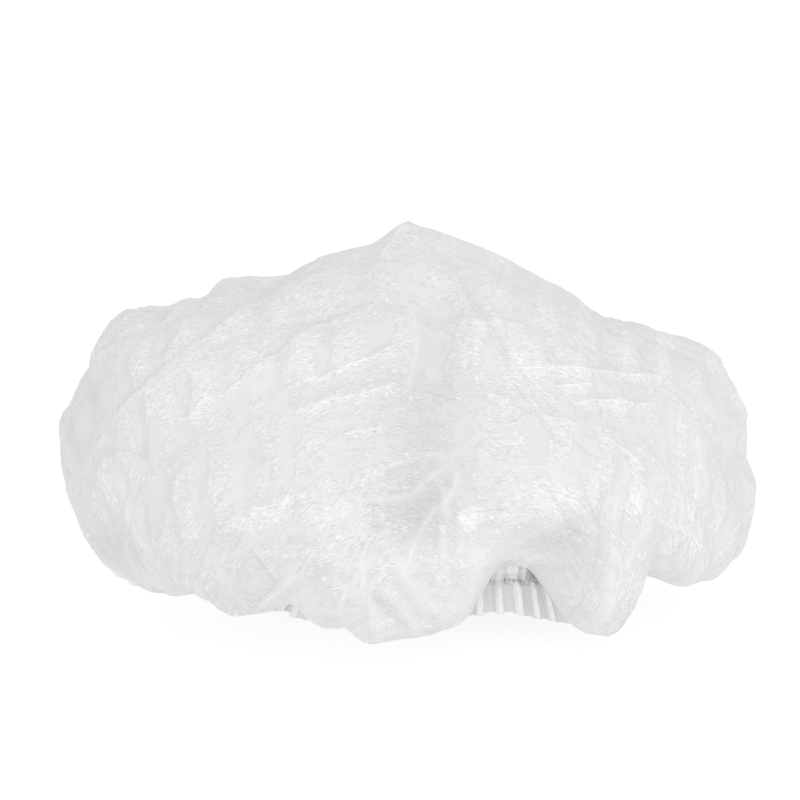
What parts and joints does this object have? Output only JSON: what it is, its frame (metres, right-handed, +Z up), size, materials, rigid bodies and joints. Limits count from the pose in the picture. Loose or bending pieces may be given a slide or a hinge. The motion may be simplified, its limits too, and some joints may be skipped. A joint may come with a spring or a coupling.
{
  "type": "disposable hair cover cap",
  "caption": "Puffed cap of pleated white nonwoven cloth with a gathered elastic opening below, worn to cover the hair.",
  "frame": {"origin": "on the surface that the cap rests on, below the middle of its width and depth", "axes": "+X to the right as the cap is seen from its front, -Y towards the front, +Z up"},
  "size_m": [0.2888, 0.2168, 0.1622],
  "materials": {
    "crown_cloth": "white spunbond nonwoven, matt with fine glints, pleated and crumpled",
    "hem_cloth": "white spunbond nonwoven in a single layer, gathered",
    "elastic": "flat white elastic, matt"
  },
  "bodies": {
    "root": {"crown": "crown_cloth", "hem_ruffle": "hem_cloth", "elastic_band": "elastic"}
  },
  "joints": []
}
